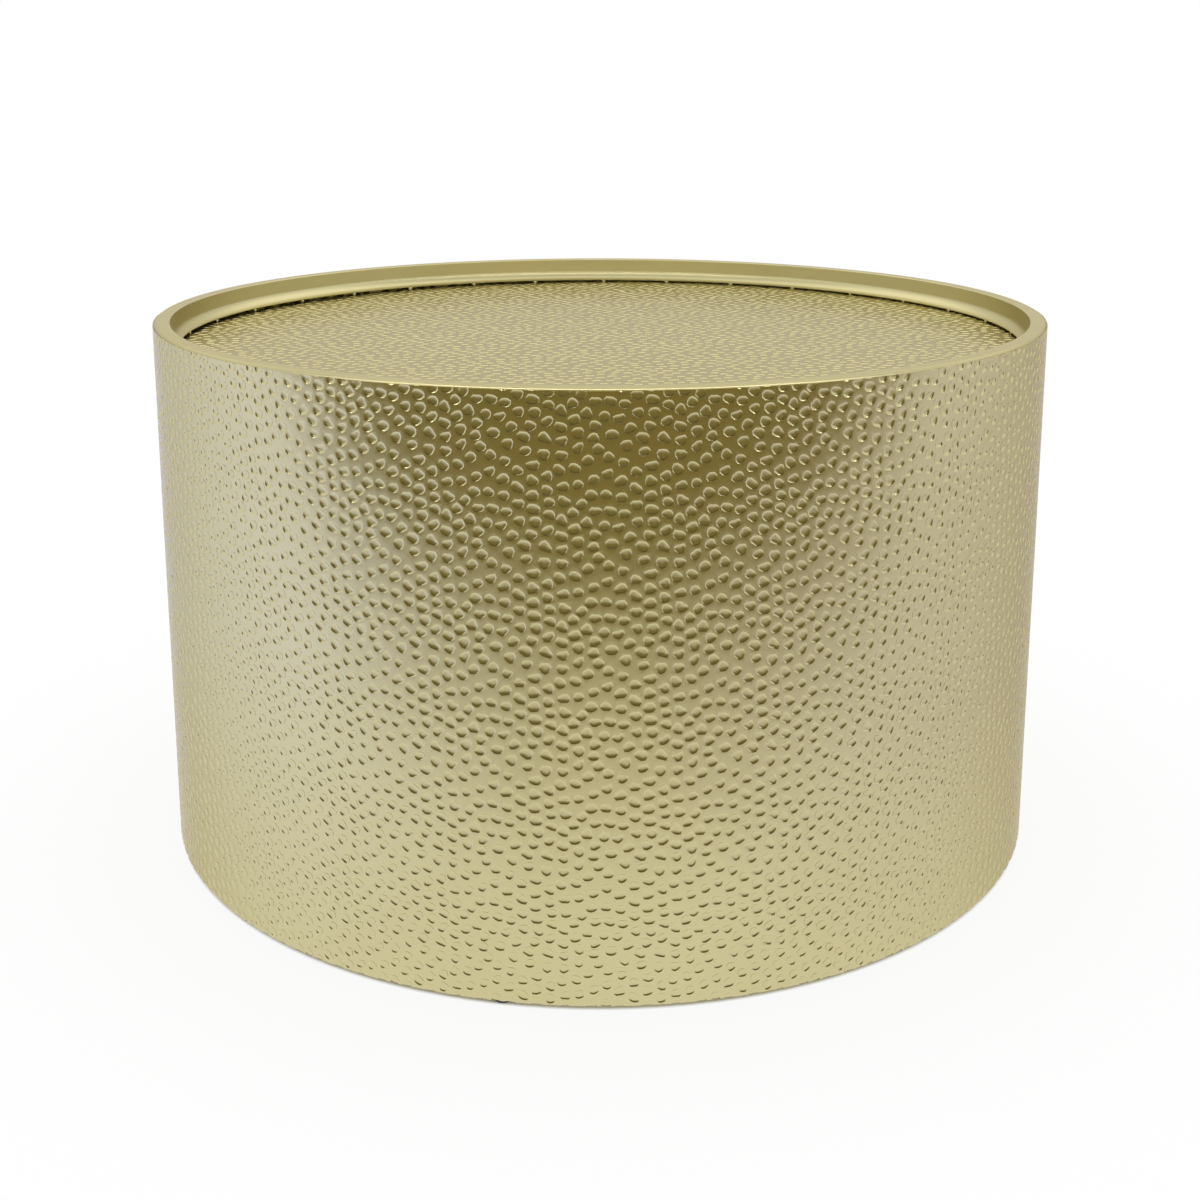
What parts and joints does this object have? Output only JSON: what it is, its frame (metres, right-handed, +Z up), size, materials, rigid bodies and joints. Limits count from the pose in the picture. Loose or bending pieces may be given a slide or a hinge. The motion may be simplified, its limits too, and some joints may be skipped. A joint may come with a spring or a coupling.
{
  "type": "coffee table",
  "caption": "Round drum coffee table of embossed gold sheet metal, with a smooth rim ring around a recessed top panel and screw-in levelling feet.",
  "frame": {"origin": "on the floor under the middle of the drum", "axes": "+Z up along the drum's axis, -Y towards the viewer of the picture, +X to the viewer's right"},
  "size_m": [0.762, 0.7619, 0.45],
  "materials": {
    "embossed_sheet": "satin champagne-gold metallic paint over embossed sheet",
    "rim_paint": "smooth satin champagne-gold metallic paint",
    "frame_paint": "thin champagne-gold paint on hidden steel",
    "zinc_steel": "zinc-plated steel",
    "foot_plastic": "black moulded plastic"
  },
  "bodies": {
    "table": {"side_shell": "embossed_sheet", "shell_seam_weld": "embossed_sheet", "rim_ring": "rim_paint", "rim_welds": "frame_paint", "top_panel": "embossed_sheet", "panel_tack_welds": "rim_paint", "base_ring": "frame_paint", "base_welds": "frame_paint", "brace_bar_long": "frame_paint", "brace_bar_right": "frame_paint", "brace_bar_left": "frame_paint", "frame_welds": "frame_paint", "frame_post_front": "frame_paint", "foot_nut_front": "zinc_steel", "frame_post_right": "frame_paint", "foot_nut_right": "zinc_steel", "frame_post_back": "frame_paint", "foot_nut_back": "zinc_steel", "frame_post_left": "frame_paint", "foot_nut_left": "zinc_steel"},
    "stud_front": {"foot_stud_front": "zinc_steel"},
    "pad_front": {"foot_pad_front": "foot_plastic"},
    "stud_right": {"foot_stud_right": "zinc_steel"},
    "pad_right": {"foot_pad_right": "foot_plastic"},
    "stud_back": {"foot_stud_back": "zinc_steel"},
    "pad_back": {"foot_pad_back": "foot_plastic"},
    "stud_left": {"foot_stud_left": "zinc_steel"},
    "pad_left": {"foot_pad_left": "foot_plastic"}
  },
  "joints": [
    {"name": "foot_travel_front", "type": "slide", "parent": "table", "child": "stud_front", "axis": [0, 0, -1], "range_m": [0, 0.008]},
    {"name": "foot_turn_front", "type": "hinge", "parent": "stud_front", "child": "pad_front", "pos_m": [-0.06999, -0.36688, 0], "axis": [0, 0, -1], "range_deg": [0, 2880]},
    {"name": "foot_travel_right", "type": "slide", "parent": "table", "child": "stud_right", "axis": [0, 0, -1], "range_m": [0, 0.008]},
    {"name": "foot_turn_right", "type": "hinge", "parent": "stud_right", "child": "pad_right", "pos_m": [0.36688, -0.06999, 0], "axis": [0, 0, -1], "range_deg": [0, 2880]},
    {"name": "foot_travel_back", "type": "slide", "parent": "table", "child": "stud_back", "axis": [0, 0, -1], "range_m": [0, 0.008]},
    {"name": "foot_turn_back", "type": "hinge", "parent": "stud_back", "child": "pad_back", "pos_m": [0.06999, 0.36688, 0], "axis": [0, 0, -1], "range_deg": [0, 2880]},
    {"name": "foot_travel_left", "type": "slide", "parent": "table", "child": "stud_left", "axis": [0, 0, -1], "range_m": [0, 0.008]},
    {"name": "foot_turn_left", "type": "hinge", "parent": "stud_left", "child": "pad_left", "pos_m": [-0.36688, 0.06999, 0], "axis": [0, 0, -1], "range_deg": [0, 2880]}
  ],
  "couplings": [
    {"joint": "foot_turn_front", "follows": "foot_travel_front", "rad_per_m": 6283.2},
    {"joint": "foot_turn_right", "follows": "foot_travel_right", "rad_per_m": 6283.2},
    {"joint": "foot_turn_back", "follows": "foot_travel_back", "rad_per_m": 6283.2},
    {"joint": "foot_turn_left", "follows": "foot_travel_left", "rad_per_m": 6283.2}
  ]
}
